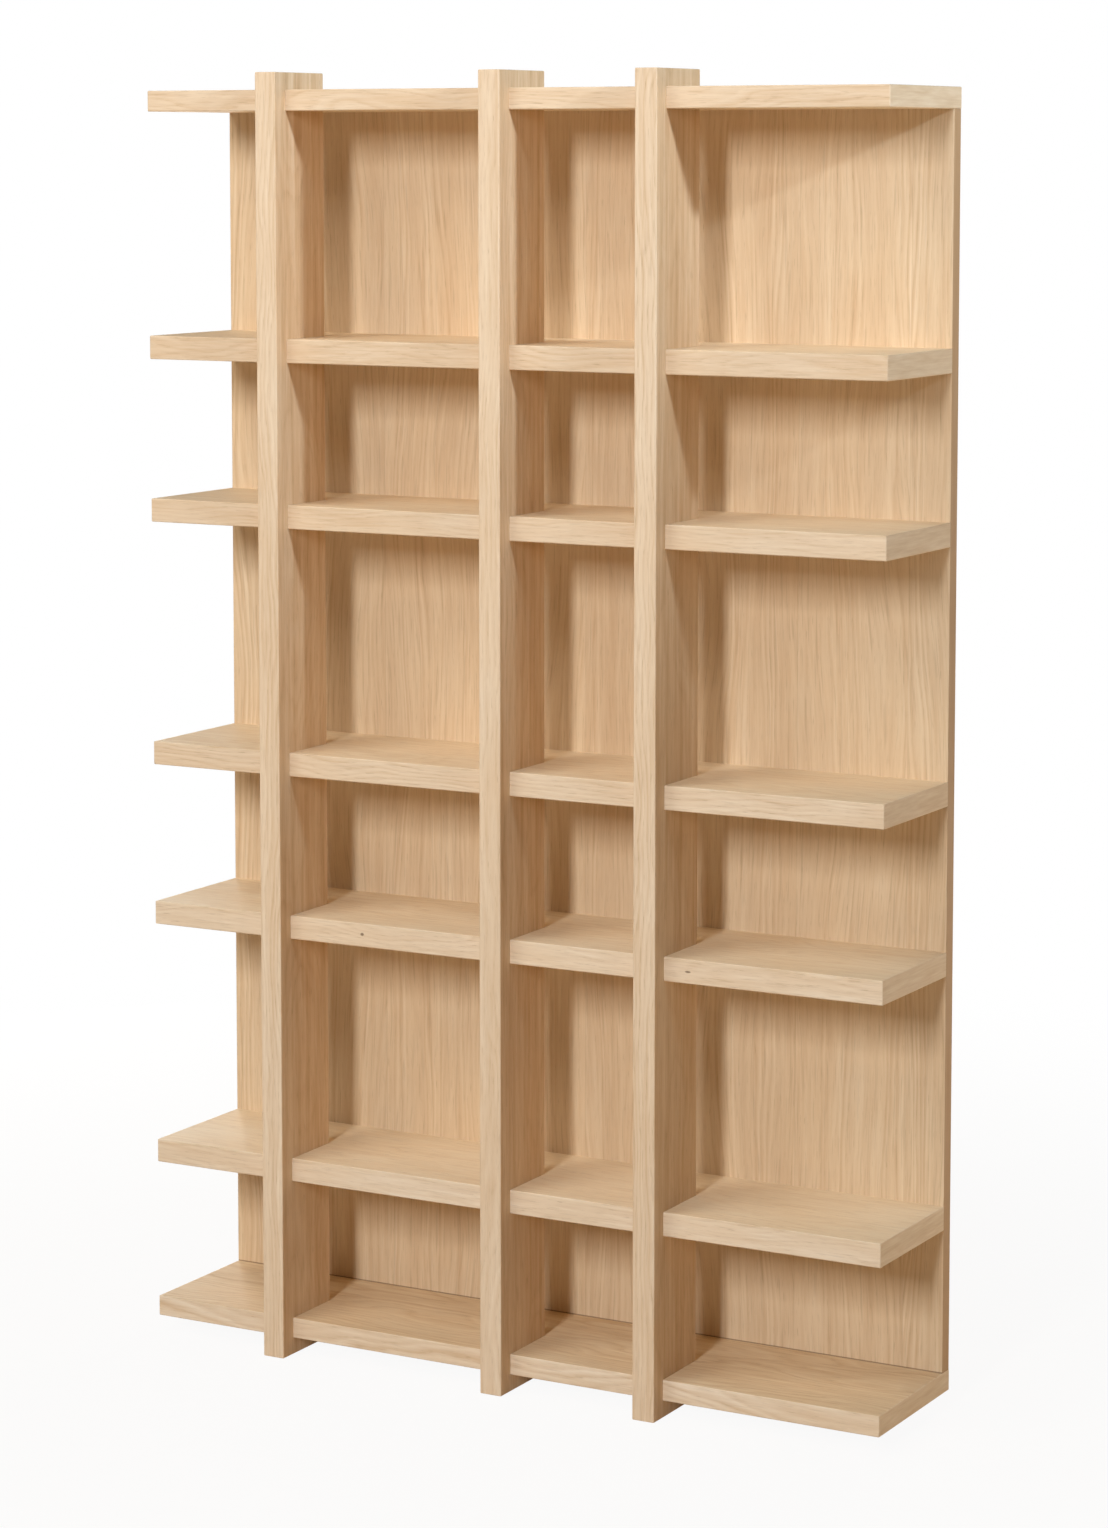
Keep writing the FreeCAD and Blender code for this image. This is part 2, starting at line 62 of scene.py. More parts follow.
def sway_level(tree, level, pattern, amount, centre=0.5):
    """Adds a pattern to a level, so that it swings about the level by the amount."""
    swing = sum_up(tree, "MULTIPLY", sum_up(tree, "SUBTRACT", pattern, centre), amount)
    return sum_up(tree, "ADD", level, swing)


def split(tree, vector):
    node = tree.nodes.new("ShaderNodeSeparateXYZ")
    tree.links.new(vector, node.inputs[0])
    return node.outputs


def point(tree, x, y, z):
    node = tree.nodes.new("ShaderNodeCombineXYZ")
    for socket, value in zip(node.inputs, (x, y, z)):
        feed(tree, socket, value)
    return node.outputs[0]


def stretch(tree, vector, factors):
    node = tree.nodes.new("ShaderNodeVectorMath")
    node.operation = "MULTIPLY"
    feed(tree, node.inputs[0], vector)
    node.inputs[1].default_value = factors
    return node.outputs[0]


def distance(tree, vector):
    node = tree.nodes.new("ShaderNodeVectorMath")
    node.operation = "LENGTH"
    feed(tree, node.inputs[0], vector)
    return node.outputs["Value"]


def cloud(tree, vector, scale, detail=2.0, roughness=0.5):
    node = tree.nodes.new("ShaderNodeTexNoise")
    feed(tree, node.inputs["Vector"], vector)
    node.inputs["Scale"].default_value = scale
    node.inputs["Detail"].default_value = detail
    node.inputs["Roughness"].default_value = roughness
    return node.outputs[0]


def along_grain(tree, vector, pace, scale, detail=2.0, roughness=0.5):
    """A cloud drawn out along the grain, where it changes at this pace against 1 across it."""
    return cloud(tree, stretch(tree, vector, (1.0, 1.0, pace)), scale, detail, roughness)


def chance(tree, value):
    """A number from 0 to 1 that stays the same for the same value."""
    node = tree.nodes.new("ShaderNodeTexWhiteNoise")
    node.noise_dimensions = "1D"
    feed(tree, node.inputs["W"], value)
    return node.outputs[0]


def span(tree, value, low, high, to_low=0.0, to_high=1.0):
    """Carries a value smoothly from one range to another, and holds it at the ends."""
    node = tree.nodes.new("ShaderNodeMapRange")
    node.interpolation_type = "SMOOTHSTEP"
    feed(tree, node.inputs["Value"], value)
    node.inputs["From Min"].default_value = low
    node.inputs["From Max"].default_value = high
    node.inputs["To Min"].default_value = to_low
    node.inputs["To Max"].default_value = to_high
    return node.outputs[0]


def ramp(tree, value, stops):
    node = tree.nodes.new("ShaderNodeValToRGB")
    feed(tree, node.inputs[0], value)
    elements = node.color_ramp.elements
    while len(elements) < len(stops):
        elements.new(0.5)
    for element, (place, colour) in zip(elements, stops):
        element.position = place
        element.color = colour
    return node.outputs[0]


def mix(tree, factor, first, second, blend="MIX"):
    node = tree.nodes.new("ShaderNodeMix")
    node.data_type = "RGBA"
    node.blend_type = blend
    feed(tree, node.inputs[0], factor)
    feed(tree, node.inputs[6], first)
    feed(tree, node.inputs[7], second)
    return node.outputs[2]


def shade(red, green, blue):
    """A colour as it looks on a screen, 0 to 255, turned into the light it stands for."""
    parts = [c / 255.0 for c in (red, green, blue)]
    linear = [c / 12.92 if c <= 0.04045 else ((c + 0.055) / 1.055) ** 2.4 for c in parts]
    return (linear[0], linear[1], linear[2], 1.0)


def grey(level):
    return (level, level, level, 1.0)


def new_finish(name):
    finish = bpy.data.materials.new(name)
    finish.use_nodes = True
    tree = finish.node_tree
    tree.nodes.clear()
    shader = tree.nodes.new("ShaderNodeBsdfPrincipled")
    output = tree.nodes.new("ShaderNodeOutputMaterial")
    tree.links.new(shader.outputs[0], output.inputs[0])
    return finish, tree, shader


def own_place(tree):
    """A point's place on the part, in metres."""
    return tree.nodes.new("ShaderNodeTexCoord").outputs["Object"]


def place_in_log(tree, own, grain, offset):
    """The same place turned so that the grain runs along Z, and moved to where the board was in its log."""
    mapping = tree.nodes.new("ShaderNodeMapping")
    mapping.inputs["Location"].default_value = offset
    if grain == "X":
        mapping.inputs["Rotation"].default_value = (0.0, math.radians(90.0), 0.0)
    tree.links.new(own, mapping.inputs["Vector"])
    return mapping.outputs[0]


# How far a face may lean before it stops or starts to count as square to an axis.
SQUARE_FROM = 0.55
SQUARE_FULL = 0.95


def facing(tree, axis):
    """1 on faces square to the axis, 0 on the others."""
    geometry = tree.nodes.new("ShaderNodeNewGeometry")
    lean = split(tree, geometry.outputs["Normal"])[axis]
    return span(tree, sum_up(tree, "ABSOLUTE", lean), SQUARE_FROM, SQUARE_FULL)


# Tones from dark to pale along a level of 0 to 1.
OAK_TONES = (
    (0.0, shade(188, 152, 114)), (0.35, shade(212, 183, 148)),
    (0.68, shade(226, 203, 173)), (1.0, shade(238, 221, 197)),
)
VENEER_TONES = (
    (0.0, shade(189, 150, 109)), (0.35, shade(213, 181, 142)),
    (0.68, shade(226, 199, 162)), (1.0, shade(237, 215, 182)),
)

# One year's growth: dark and porous in spring, pale and dense later.
OAK_YEAR = (
    (0.0, grey(0.45)), (0.14, grey(0.0)), (0.45, grey(0.62)), (0.78, grey(1.0)), (1.0, grey(0.45)),
)
VENEER_YEAR = (
    (0.0, grey(0.5)), (0.15, grey(0.0)), (0.48, grey(0.6)), (0.8, grey(1.0)), (1.0, grey(0.5)),
)
YEAR_CENTRE = 0.6
OAK_VIGOUR = (0.0, 1.0, 0.25, 1.0)
VENEER_VIGOUR = (0.45, 1.0, 0.02, 0.34)

# Patterns along the grain: pace, scale, and detail and roughness where they differ from the usual.
OAK_SWAY = (0.40, 7.0)
OAK_RIPPLE = (0.22, 30.0)
OAK_STREAK = {"X": (0.09, 90.0), "Z": (0.03, 90.0)}
OAK_FIBRE = (0.055, 270.0, 3.0, 0.6)
OAK_DRIFT = (0.25, 12.0)
OAK_BLUSHES = (0.3, 17.0)
OAK_PORES = (0.035, 1500.0, 1.0)
OAK_FLECKS = (0.05, 520.0, 1.0)
VENEER_SWAY = (0.26, 6.0)
VENEER_RIPPLE = (0.10, 34.0)
VENEER_BROAD = (0.025, 48.0)
VENEER_STREAK = (0.070, 95.0)
VENEER_FIBRE = (0.045, 270.0, 3.0, 0.6)
VENEER_BLUSHES = (0.3, 15.0)
VENEER_PORES = (0.03, 1500.0, 1.0)
VENEER_FLECKS = (0.03, 480.0, 1.0)

# How far the rings wander, in metres.
OAK_SWAY_REACH = 0.080
OAK_RIPPLE_REACH = 0.022
VENEER_SWAY_REACH = 0.085
VENEER_RIPPLE_REACH = 0.030

# How much each pattern moves the tone.
OAK_STREAK_DEPTH = {"X": 0.34, "Z": 0.50}
OAK_FIBRE_DEPTH = 0.46
OAK_DRIFT_DEPTH = 0.36
VENEER_BROAD_DEPTH = 0.46
VENEER_STREAK_DEPTH = 0.42
VENEER_FIBRE_DEPTH = 0.48

# Broad faces against edges, on boards with the grain along X and uprights with the grain along Z.
# The tint is painted light and shade on the broad faces: warmer and paler on the boards' tops and
# undersides, warmer and darker on the uprights' sides.
FACE_LIGHT_TINT = {"X": (1.06, 1.03, 0.93, 1.0), "Z": (1.03, 0.955, 0.85, 1.0)}
FACE_FIGURE = {"X": 0.75, "Z": 0.5}
FACE_STREAK = {"X": 1.0, "Z": 1.9}

# Pores crowd in the spring wood. Flecks are the longer dark dashes among them.
OAK_PORE = shade(150, 114, 76)
PORE_SHAPE = (0.60, 0.68)
SPRING_PORES = (0.5, 0.05, 0.25, 0.8)
OAK_PORE_DEPTH = 0.45
VENEER_PORE_DEPTH = 0.4
OAK_FLECK_SHAPE = (0.58, 0.76, 0.0, 0.16)
VENEER_FLECK_SHAPE = (0.56, 0.76, 0.0, 0.22)

# Patches that are a little warmer than the rest.
OAK_BLUSH = (1.0, 0.98, 0.955, 1.0)
BLUSH_SHAPE = (0.35, 0.65)

# Satin oil finish: dark grain is a little rougher than pale grain, and the pores lie a little lower.
SATIN_ROUGHNESS = (0.2, 0.9, 0.62, 0.5)
SATIN_GLOSS = 0.28
FIBRE_RELIEF = 0.5
RELIEF_STRENGTH = 0.22
RELIEF_HEIGHT = 0.0004

# Thin oak strips on the boards' ends, with the grain along the depth.
BAND_STREAK_STRETCH = (1.0, 0.10, 1.0)
BAND_STREAK_SCALE = 150.0
BAND_STREAK_DEPTH = 0.70
BAND_FIBRE_STRETCH = (1.0, 0.05, 1.0)
BAND_FIBRE_SCALE = 420.0
BAND_FIBRE_DEPTH = 0.60
BAND_TONE = 0.63
BAND_TINT = (1.05, 1.0, 0.92, 1.0)

PIN_KNOT = shade(96, 70, 48)
PIN_KNOT_SHAPE = (1.0, 0.5, 0.0, 0.75)


def growth(tree, reach, ring, year):
    """Year rings: the place within a year, that year's vigour, and its dark and pale band."""
    years = sum_up(tree, "DIVIDE", reach, ring)
    within = sum_up(tree, "FRACT", years)
    vigour = chance(tree, sum_up(tree, "FLOOR", years))
    return within, vigour, ramp(tree, within, year)


def blush_over(tree, colour, patches):
    return mix(tree, span(tree, patches, *BLUSH_SHAPE), colour, OAK_BLUSH, "MULTIPLY")


def open_pores(tree, colour, within, pores, depth):
    """Darkens the pores, and also returns where they are."""
    spring = span(tree, within, *SPRING_PORES)
    hollow = sum_up(tree, "MULTIPLY", span(tree, pores, *PORE_SHAPE), spring)
    return mix(tree, sum_up(tree, "MULTIPLY", hollow, depth), colour, OAK_PORE), hollow


def wood_surface(tree, shader, colour, level, fibre, hollow):
    """Colour, satin oil sheen and a shallow grain relief, shared by solid oak and veneer."""
    feed(tree, shader.inputs["Base Color"], colour)
    feed(tree, shader.inputs["Roughness"], span(tree, level, *SATIN_ROUGHNESS))
    shader.inputs["Specular IOR Level"].default_value = SATIN_GLOSS
    relief = sum_up(tree, "MULTIPLY", fibre, FIBRE_RELIEF)
    bump = tree.nodes.new("ShaderNodeBump")
    bump.inputs["Strength"].default_value = RELIEF_STRENGTH
    bump.inputs["Distance"].default_value = RELIEF_HEIGHT
    feed(tree, bump.inputs["Height"], sway_level(tree, relief, hollow, -1.0, 0.0))
    tree.links.new(bump.outputs[0], shader.inputs["Normal"])


def edge_band(tree, own):
    """The thin oak strip on a board's end."""
    streak = cloud(tree, stretch(tree, own, BAND_STREAK_STRETCH), BAND_STREAK_SCALE)
    fibre = cloud(tree, stretch(tree, own, BAND_FIBRE_STRETCH), BAND_FIBRE_SCALE, 3.0, 0.6)
    level = sway_level(tree, BAND_TONE, streak, BAND_STREAK_DEPTH)
    level = sway_level(tree, level, fibre, BAND_FIBRE_DEPTH)
    return mix(tree, 1.0, ramp(tree, level, OAK_TONES), BAND_TINT, "MULTIPLY")


def oak(name, grain, offset, ring, figure, tone, face_light, marks=()):
    """Pale oak: rings about the log's heart, fibres and open pores, with banded ends.

    offset puts the board in the log, with the heart at X = Y = 0. ring is the width of a year's
    growth in metres, figure how strongly the rings show, tone how light the board is, and face_light
    how much lighter its broad faces are than its edges, which is painted light where it is above 0
    and painted shade where it is below 0. marks are pin knots, each a place and a size.
    """
    finish, tree, shader = new_finish(name)
    own = own_place(tree)
    log = place_in_log(tree, own, grain, offset)
    broad_face = facing(tree, "Z" if grain == "X" else "X")

    from_heart = distance(tree, stretch(tree, log, (1.0, 1.0, 0.0)))
    from_heart = sway_level(tree, from_heart, along_grain(tree, log, *OAK_SWAY), OAK_SWAY_REACH)
    from_heart = sway_level(tree, from_heart, along_grain(tree, log, *OAK_RIPPLE), OAK_RIPPLE_REACH)
    within, vigour, band = growth(tree, from_heart, ring, OAK_YEAR)
    strength = sum_up(tree, "MULTIPLY", span(tree, vigour, *OAK_VIGOUR), figure)
    face_share = span(tree, broad_face, 0.0, 1.0, 1.0, FACE_FIGURE[grain])
    strength = sum_up(tree, "MULTIPLY", strength, face_share)

    edge_depth = OAK_STREAK_DEPTH[grain]
    face_depth = edge_depth * FACE_STREAK[grain]
    streak_depth = span(tree, broad_face, 0.0, 1.0, edge_depth, face_depth)
    fibre = along_grain(tree, log, *OAK_FIBRE)
    level = sway_level(tree, tone, band, strength, YEAR_CENTRE)
    level = sway_level(tree, level, along_grain(tree, log, *OAK_STREAK[grain]), streak_depth)
    level = sway_level(tree, level, fibre, OAK_FIBRE_DEPTH)
    level = sway_level(tree, level, along_grain(tree, log, *OAK_DRIFT), OAK_DRIFT_DEPTH)
    # Painted light and shade: the broad faces are made lighter or darker than the edges.
    level = sway_level(tree, level, broad_face, face_light, 0.0)

    colour = ramp(tree, level, OAK_TONES)
    colour = blush_over(tree, colour, along_grain(tree, log, *OAK_BLUSHES))
    # Painted light and shade: a tint on the broad faces.
    colour = mix(tree, broad_face, colour, FACE_LIGHT_TINT[grain], "MULTIPLY")
    pores = along_grain(tree, log, *OAK_PORES)
    colour, hollow = open_pores(tree, colour, within, pores, OAK_PORE_DEPTH)
    flecks = along_grain(tree, log, *OAK_FLECKS)
    colour = mix(tree, span(tree, flecks, *OAK_FLECK_SHAPE), colour, OAK_PORE)
    colour = mix(tree, facing(tree, grain), colour, edge_band(tree, own))

    for place, size in marks:
        spot = tree.nodes.new("ShaderNodeMapping")
        spot.vector_type = "TEXTURE"
        spot.inputs["Location"].default_value = place
        spot.inputs["Scale"].default_value = size
        tree.links.new(own, spot.inputs["Vector"])
        from_knot = distance(tree, spot.outputs[0])
        colour = mix(tree, span(tree, from_knot, *PIN_KNOT_SHAPE), colour, PIN_KNOT)

    wood_surface(tree, shader, colour, level, fibre, hollow)
    return finish


# Veneer leaves on the panel: their width, the first seam's place left of the middle, and how far
# each leaf is drawn from across and along the log.
LEAF_WIDTH = 0.158
LEAF_START = 0.613
LEAF_ACROSS = 3.7
LEAF_ALONG = 5.3
LEAF_DEPTH = 0.10
VENEER_RING = 0.0085
VENEER_TONE = 0.58
SEAM_SHAPE = (0.4965, 0.5, 0.0, 0.22)
# A thin painted shadow along the panel's foot, where it stands on the board below: its height, strength and
# colour.
JOINT_SHADOW_LINE = 0.0021
JOINT_SHADOW_DEPTH = 0.7
JOINT_SHADOW_COLOUR = shade(110, 76, 48)
PANEL_END_TONE = shade(186, 156, 120)
PANEL_END_COVER = 0.7
# The panel's side edges: their own darker edge colour, and partly painted shade.
PANEL_SIDE_TONE_AND_SHADE = shade(184, 142, 98)
PANEL_SIDE_TONE_AND_SHADE_COVER = 0.8


def veneer(name, foot):
    """Straight-grained oak leaves laid side by side on the panel, with faint seams between them.

    foot is the height of the panel's lower end, where a thin painted shadow runs along the board below.
    """
    finish, tree, shader = new_finish(name)
    own = split(tree, own_place(tree))

    leaf = sum_up(tree, "DIVIDE", sum_up(tree, "ADD", own["X"], LEAF_START), LEAF_WIDTH)
    leaf_chance = chance(tree, sum_up(tree, "FLOOR", leaf))
    across = sway_level(tree, own["X"], leaf_chance, LEAF_ACROSS, 0.0)
    along = sway_level(tree, own["Z"], leaf_chance, LEAF_ALONG, 0.0)
    laid = point(tree, across, own["Y"], along)

    swayed = sway_level(tree, across, along_grain(tree, laid, *VENEER_SWAY), VENEER_SWAY_REACH)
    warped = point(tree, swayed, own["Y"], along)
    rippled = sway_level(tree, swayed, along_grain(tree, warped, *VENEER_RIPPLE), VENEER_RIPPLE_REACH)
    within, vigour, band = growth(tree, rippled, VENEER_RING, VENEER_YEAR)
    strength = span(tree, vigour, *VENEER_VIGOUR)

    fibre = along_grain(tree, warped, *VENEER_FIBRE)
    level = sway_level(tree, VENEER_TONE, band, strength, YEAR_CENTRE)
    level = sway_level(tree, level, along_grain(tree, warped, *VENEER_BROAD), VENEER_BROAD_DEPTH)
    level = sway_level(tree, level, along_grain(tree, warped, *VENEER_STREAK), VENEER_STREAK_DEPTH)
    level = sway_level(tree, level, fibre, VENEER_FIBRE_DEPTH)
    level = sway_level(tree, level, leaf_chance, LEAF_DEPTH)

    colour = ramp(tree, level, VENEER_TONES)
    colour = blush_over(tree, colour, along_grain(tree, laid, *VENEER_BLUSHES))
    pores = along_grain(tree, laid, *VENEER_PORES)
    colour, hollow = open_pores(tree, colour, within, pores, VENEER_PORE_DEPTH)
    flecks = along_grain(tree, warped, *VENEER_FLECKS)
    colour = mix(tree, span(tree, flecks, *VENEER_FLECK_SHAPE), colour, OAK_PORE)

    seam = sum_up(tree, "ABSOLUTE", sum_up(tree, "SUBTRACT", sum_up(tree, "FRACT", leaf), 0.5))
    colour = mix(tree, span(tree, seam, *SEAM_SHAPE), colour, OAK_PORE)
    # Painted shadow: a thin dark line along the panel's foot.
    joint_shadow = span(tree, own["Z"], foot + JOINT_SHADOW_LINE, foot + JOINT_SHADOW_LINE / 3, 0.0, JOINT_SHADOW_DEPTH)
    colour = mix(tree, joint_shadow, colour, JOINT_SHADOW_COLOUR)
    ends = sum_up(tree, "MULTIPLY", facing(tree, "Z"), PANEL_END_COVER)
    colour = mix(tree, ends, colour, PANEL_END_TONE)
    # The side edges take a darker colour, partly their own and partly painted shade.
    side_tone_and_shade = sum_up(tree, "MULTIPLY", facing(tree, "X"), PANEL_SIDE_TONE_AND_SHADE_COVER)
    colour = mix(tree, side_tone_and_shade, colour, PANEL_SIDE_TONE_AND_SHADE)

    wood_surface(tree, shader, colour, level, fibre, hollow)
    return finish


BEECH_FLECK = (0.12, 1100.0)
BEECH_PATCH = 45.0
BEECH_TONES = ((0.3, shade(190, 142, 104)), (0.7, shade(222, 184, 148)))
BEECH_ROUGHNESS = (0.3, 0.7, 0.55, 0.7)


def beech(name):
    """Plain turned beech with short flecks, for the dowels."""
    finish, tree, shader = new_finish(name)
    own = own_place(tree)
    fleck = along_grain(tree, own, *BEECH_FLECK)
    patch = cloud(tree, own, BEECH_PATCH)
    level = sum_up(tree, "MULTIPLY", sum_up(tree, "ADD", fleck, patch), 0.5)
    feed(tree, shader.inputs["Base Color"], ramp(tree, level, BEECH_TONES))
    feed(tree, shader.inputs["Roughness"], span(tree, fleck, *BEECH_ROUGHNESS))
    return finish


RUBBED_MARKS = (0.05, 1800.0)
RUBBED_RANGE = (0.3, 0.7)
RUBBED_STRENGTH = 0.12
RUBBED_HEIGHT = 0.0002


def steel(name, dark, pale, rough_low, rough_high, mottle_scale):
    """Plated steel with a mottled coat and fine rubbed marks."""
    finish, tree, shader = new_finish(name)
    own = own_place(tree)
    mottle = cloud(tree, own, mottle_scale, 3.0, 0.6)
    rubbed = along_grain(tree, own, *RUBBED_MARKS)
    feed(tree, shader.inputs["Base Color"], ramp(tree, mottle, ((0.3, dark), (0.7, pale))))
    shader.inputs["Metallic"].default_value = 1.0
    feed(tree, shader.inputs["Roughness"], span(tree, rubbed, *RUBBED_RANGE, rough_low, rough_high))
    bump = tree.nodes.new("ShaderNodeBump")
    bump.inputs["Strength"].default_value = RUBBED_STRENGTH
    bump.inputs["Distance"].default_value = RUBBED_HEIGHT
    feed(tree, bump.inputs["Height"], rubbed)
    tree.links.new(bump.outputs[0], shader.inputs["Normal"])
    return finish


def dress(node, finish):
    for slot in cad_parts[node].material_slots:
        slot.material = finish


def middle(node):
    low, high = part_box(node)
    return [(low[i] + high[i]) / 2 for i in range(3)]


# Each board and upright is cut from its own place in the log. The columns are the heart's place
# beside it, how far along the log it lies, ring, figure, tone and face_light, the broad faces'
# painted light and shade.
# Painted light: the boards' tones mostly grow paler towards the lower rows, where the lamps light them
# less.
BOARDS = {
    "top_board": ((0.085, 0.030), 0.3, 0.0062, 0.20, 0.50, 0.26),
    "second_shelf": ((0.110, -0.055), 2.1, 0.0066, 0.20, 0.46, 0.36),
    "third_shelf": ((-0.120, 0.040), 4.4, 0.0062, 0.20, 0.52, 0.30),
    "fourth_shelf": ((0.095, 0.065), 6.2, 0.0070, 0.22, 0.56, 0.30),
    "fifth_shelf": ((-0.105, -0.035), 8.7, 0.0064, 0.20, 0.60, 0.28),
    "sixth_shelf": ((0.125, 0.020), 11.3, 0.0066, 0.22, 0.68, 0.24),
    "bottom_board": ((0.095, -0.045), 13.9, 0.0070, 0.42, 0.64, -0.02),
}
UPRIGHTS = {
    "left_upright": ((0.090, 0.030), 16.5, 0.0070, 0.24, 0.52, -0.03),
    "middle_upright": ((-0.105, -0.040), 19.2, 0.0066, 0.24, 0.54, -0.04),
    "right_upright": ((0.120, 0.015), 22.6, 0.0072, 0.24, 0.54, -0.04),
}
# Two pin knots on the fifth shelf's front edge, each with its place and its half sizes.
PIN_KNOTS = {
    "fifth_shelf": (
        ((-0.2140, -0.2220, -0.2782), (0.0034, 0.0040, 0.0027)),
        ((0.2765, -0.2220, -0.2799), (0.0052, 0.0040, 0.0018)),
    ),
}
for board, (heart, along, ring, figure, tone, face_light) in BOARDS.items():
    centre = middle(board)
    offset = (heart[0] - centre[2], heart[1] - centre[1], along)
    knots = PIN_KNOTS.get(board, ())
    dress(board, oak(f"oak_{board}", "X", offset, ring, figure, tone, face_light, knots))
for upright, (heart, along, ring, figure, tone, face_light) in UPRIGHTS.items():
    centre = middle(upright)
    offset = (heart[0] - centre[0], heart[1] - centre[1], along)
    dress(upright, oak(f"oak_{upright}", "Z", offset, ring, figure, tone, face_light))

panel_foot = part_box("back_panel")[0][2]
dress("back_panel", veneer("oak_panel_veneer", panel_foot))
zinc = steel("zinc_plated_steel", shade(150, 150, 146), shade(196, 197, 194), 0.28, 0.45, 260.0)
plate_steel = steel("hanger_plate_steel", shade(138, 139, 141), shade(182, 184, 187), 0.3, 0.5, 120.0)
dowel_wood = beech("beech_dowel")
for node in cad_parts:
    if node.endswith("_dowels"):
        dress(node, dowel_wood)
    elif node.endswith("_screws"):
        dress(node, zinc)
    elif node.endswith("_hanger"):
        dress(node, plate_steel)

# White surroundings. The eye sees white, glossy surfaces a dimmer room, and the boards get a faint
# warm fill.
FILL = 0.01
FILL_COLOUR = (1.0, 0.90, 0.78, 1.0)
GLOSS_SHARE = 0.25


def seen_white(tree):
    rays = tree.nodes.new("ShaderNodeLightPath")
    gloss = sum_up(tree, "MULTIPLY", rays.outputs["Is Glossy Ray"], GLOSS_SHARE)
    seen = sum_up(tree, "MAXIMUM", rays.outputs["Is Camera Ray"], gloss)
    return sum_up(tree, "MAXIMUM", seen, rays.outputs["Is Transmission Ray"])


def either(tree, factor, first, second, output):
    """Shows the first shader where the factor is 0 and the second where it is 1."""
    node = tree.nodes.new("ShaderNodeMixShader")
    tree.links.new(factor, node.inputs[0])
    tree.links.new(first.outputs[0], node.inputs[1])
    tree.links.new(second.outputs[0], node.inputs[2])
    tree.links.new(node.outputs[0], output.inputs[0])


room = bpy.data.worlds.new("white_room")
scene.world = room
room.use_nodes = True
room_tree = room.node_tree
room_tree.nodes.clear()
soft_fill = room_tree.nodes.new("ShaderNodeBackground")
soft_fill.inputs["Strength"].default_value = FILL
soft_fill.inputs["Color"].default_value = FILL_COLOUR
white = room_tree.nodes.new("ShaderNodeBackground")
white.inputs["Strength"].default_value = 1.0
white.inputs["Color"].default_value = (1.0, 1.0, 1.0, 1.0)
room_output = room_tree.nodes.new("ShaderNodeOutputWorld")
either(room_tree, seen_white(room_tree), soft_fill, white, room_output)

# Pale floor under the uprights' lower ends. It keeps the shadow near the shelf and fades to white
# away from it.
FLOOR_SIZE = 24.0
FLOOR_GAP = 0.0005
FLOOR_SPECKLE = 30.0
FLOOR_TONES = ((0.3, shade(222, 204, 180)), (0.7, shade(228, 210, 188)))
FLOOR_ROUGHNESS = 0.9
FLOOR_GLOSS = 0.1
FLOOR_WHITENESS = (0.5, 2.6, 0.93, 1.0)

bpy.ops.mesh.primitive_plane_add(size=FLOOR_SIZE, location=(0.0, 0.0, cad_low[2] - FLOOR_GAP))
floor = bpy.context.object
floor.name = "floor"
bpy.ops.object.transform_apply(location=True, rotation=False, scale=False)
floor_finish, floor_tree, floor_shader = new_finish("pale_floor")
floor_place = own_place(floor_tree)
speckle = cloud(floor_tree, floor_place, FLOOR_SPECKLE, 3.0)
feed(floor_tree, floor_shader.inputs["Base Color"], ramp(floor_tree, speckle, FLOOR_TONES))
floor_shader.inputs["Roughness"].default_value = FLOOR_ROUGHNESS
floor_shader.inputs["Specular IOR Level"].default_value = FLOOR_GLOSS
glow = floor_tree.nodes.new("ShaderNodeEmission")
glow.inputs["Strength"].default_value = 1.0
from_shelf = distance(floor_tree, stretch(floor_tree, floor_place, (1.0, 1.0, 0.0)))
whiteness = span(floor_tree, from_shelf, *FLOOR_WHITENESS)
seen_floor = sum_up(floor_tree, "MULTIPLY", seen_white(floor_tree), whiteness)
floor_output = [node for node in floor_tree.nodes if node.type == "OUTPUT_MATERIAL"][0]
either(floor_tree, seen_floor, floor_shader, glow, floor_output)
floor.data.materials.append(floor_finish)

DAYLIGHT = (1.0, 1.055, 1.15)
SKYLIGHT = (1.0, 1.14, 1.34)
NORTH_SKY = (1.0, 1.20, 1.44)
SOFT_WHITE = (1.0, 0.97, 0.93)
LAMPLIGHT = (1.0, 0.94, 0.88)
WARM_WALL = (1.0, 0.92, 0.82)


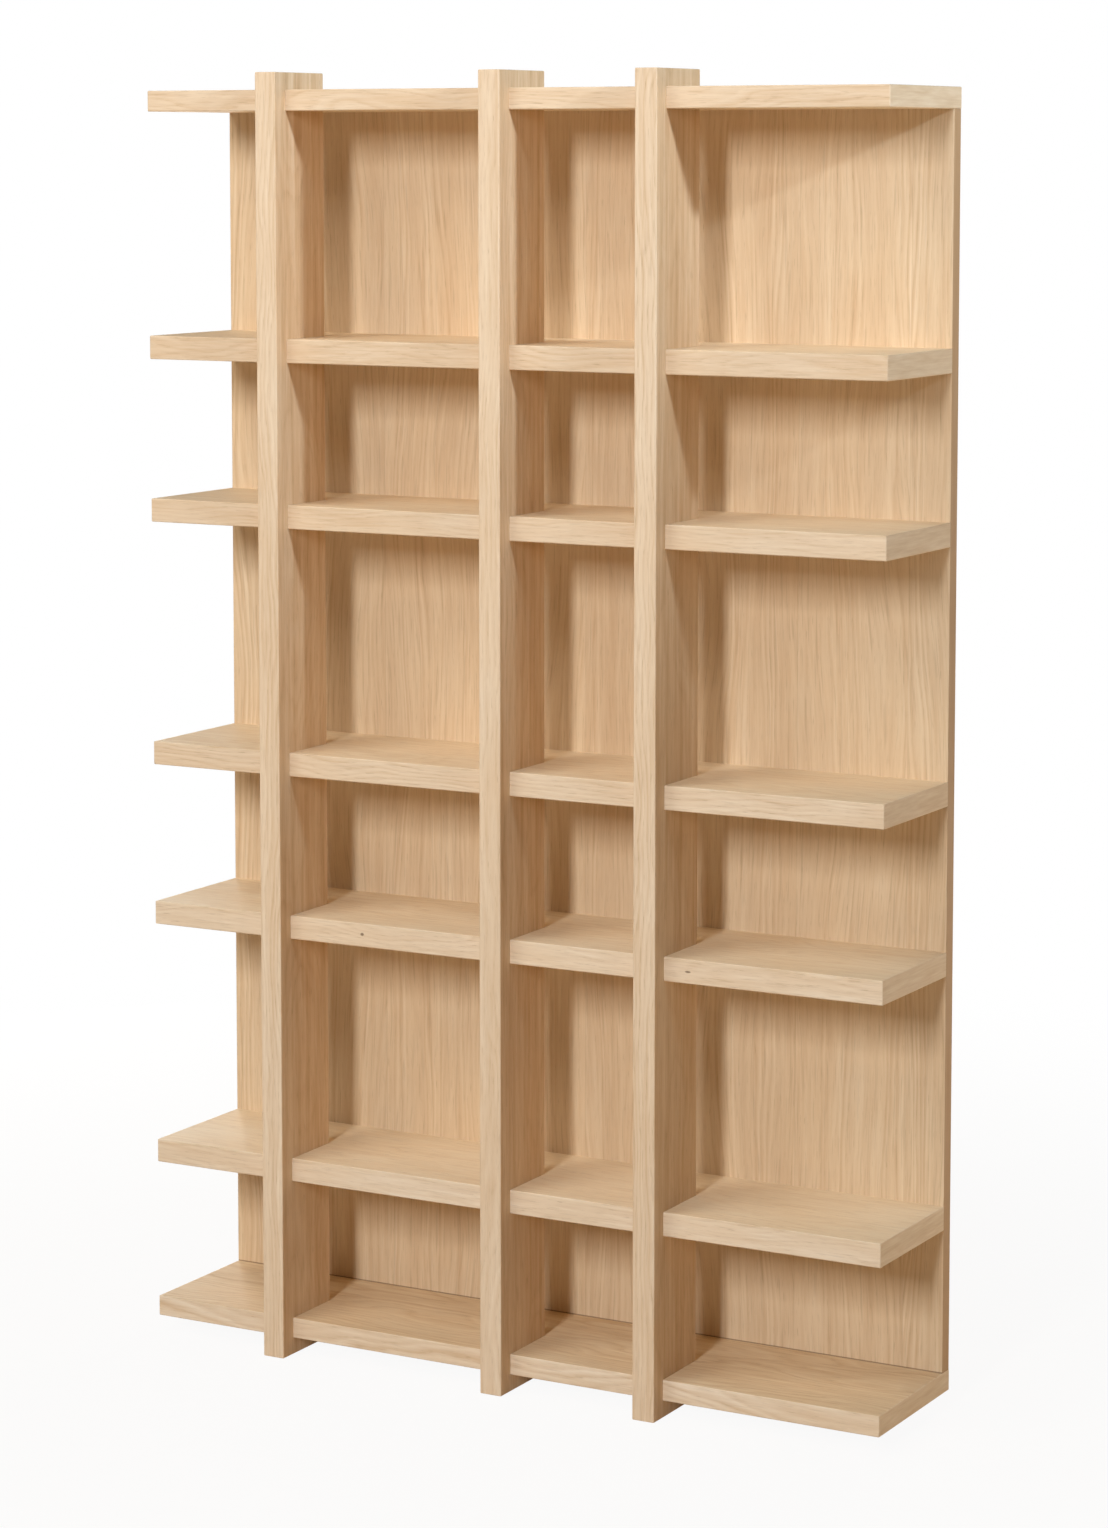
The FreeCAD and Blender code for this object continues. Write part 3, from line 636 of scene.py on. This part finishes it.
def add_lamp(kind, name, place, aim, watts, colour):
    bpy.ops.object.light_add(type=kind, location=place)
    light = bpy.context.object
    light.name = name
    light.data.energy = watts
    light.data.color = colour
    away = [a - p for a, p in zip(aim, place)]
    level = math.hypot(away[0], away[1])
    light.rotation_euler = (math.atan2(level, -away[2]), 0.0, math.atan2(-away[0], away[1]))
    return light


def softbox(name, place, aim, watts, width, height, colour):
    light = add_lamp("AREA", name, place, aim, watts, colour)
    light.data.shape = "RECTANGLE"
    light.data.size = width
    light.data.size_y = height
    light.visible_camera = False


def spot_lamp(name, place, aim, watts, cone, radius, colour):
    light = add_lamp("SPOT", name, place, aim, watts, colour)
    light.data.spot_size = math.radians(cone)
    light.data.spot_blend = 1.0
    light.data.shadow_soft_size = radius


softbox("front_softbox", (0.88, -6.50, 2.35), (0.0, -0.12, -3.8), 266.0, 0.9, 1.9, DAYLIGHT)
softbox("overhead_softbox", (-1.4, -2.7, 3.1), (0.0, -0.2, 0.0), 77.0, 2.0, 2.0, SOFT_WHITE)
softbox("rear_right_softbox", (2.0, 1.3, -0.5), (0.55, -0.1, -0.5), 24.0, 0.9, 1.8, WARM_WALL)
softbox("rear_left_softbox", (-2.0, 1.3, -0.5), (-0.55, -0.1, -0.5), 24.0, 0.9, 1.8, WARM_WALL)
softbox("rear_softbox", (0.0, 4.0, 1.2), (0.0, 0.0, 0.0), 48.0, 1.5, 1.5, LAMPLIGHT)
spot_lamp("side_spot", (4.0, -1.06, 2.35), (0.2, -0.2, 1.80), 480.0, 50.0, 0.12, NORTH_SKY)
spot_lamp("high_spot", (3.13, -1.40, 2.53), (0.2, -0.2, 0.9), 36.0, 60.0, 0.12, SKYLIGHT)

# Camera at the photograph's viewing angle: tilt is down from level and turn is to the left, in degrees.
CAMERA_PLACE = (2.537, -4.673, 0.767)
CAMERA_TILT = 5.574
CAMERA_TURN = 28.895
CAMERA_LENS = 93.0
CAMERA_SENSOR = 36.0
CAMERA_SHIFT = -0.148

bpy.ops.object.camera_add(location=CAMERA_PLACE)
camera = bpy.context.object
camera.name = "camera"
camera.rotation_euler = (math.radians(90.0 - CAMERA_TILT), 0.0, math.radians(CAMERA_TURN))
camera.data.lens = CAMERA_LENS
camera.data.sensor_width = CAMERA_SENSOR
camera.data.shift_y = CAMERA_SHIFT
scene.camera = camera
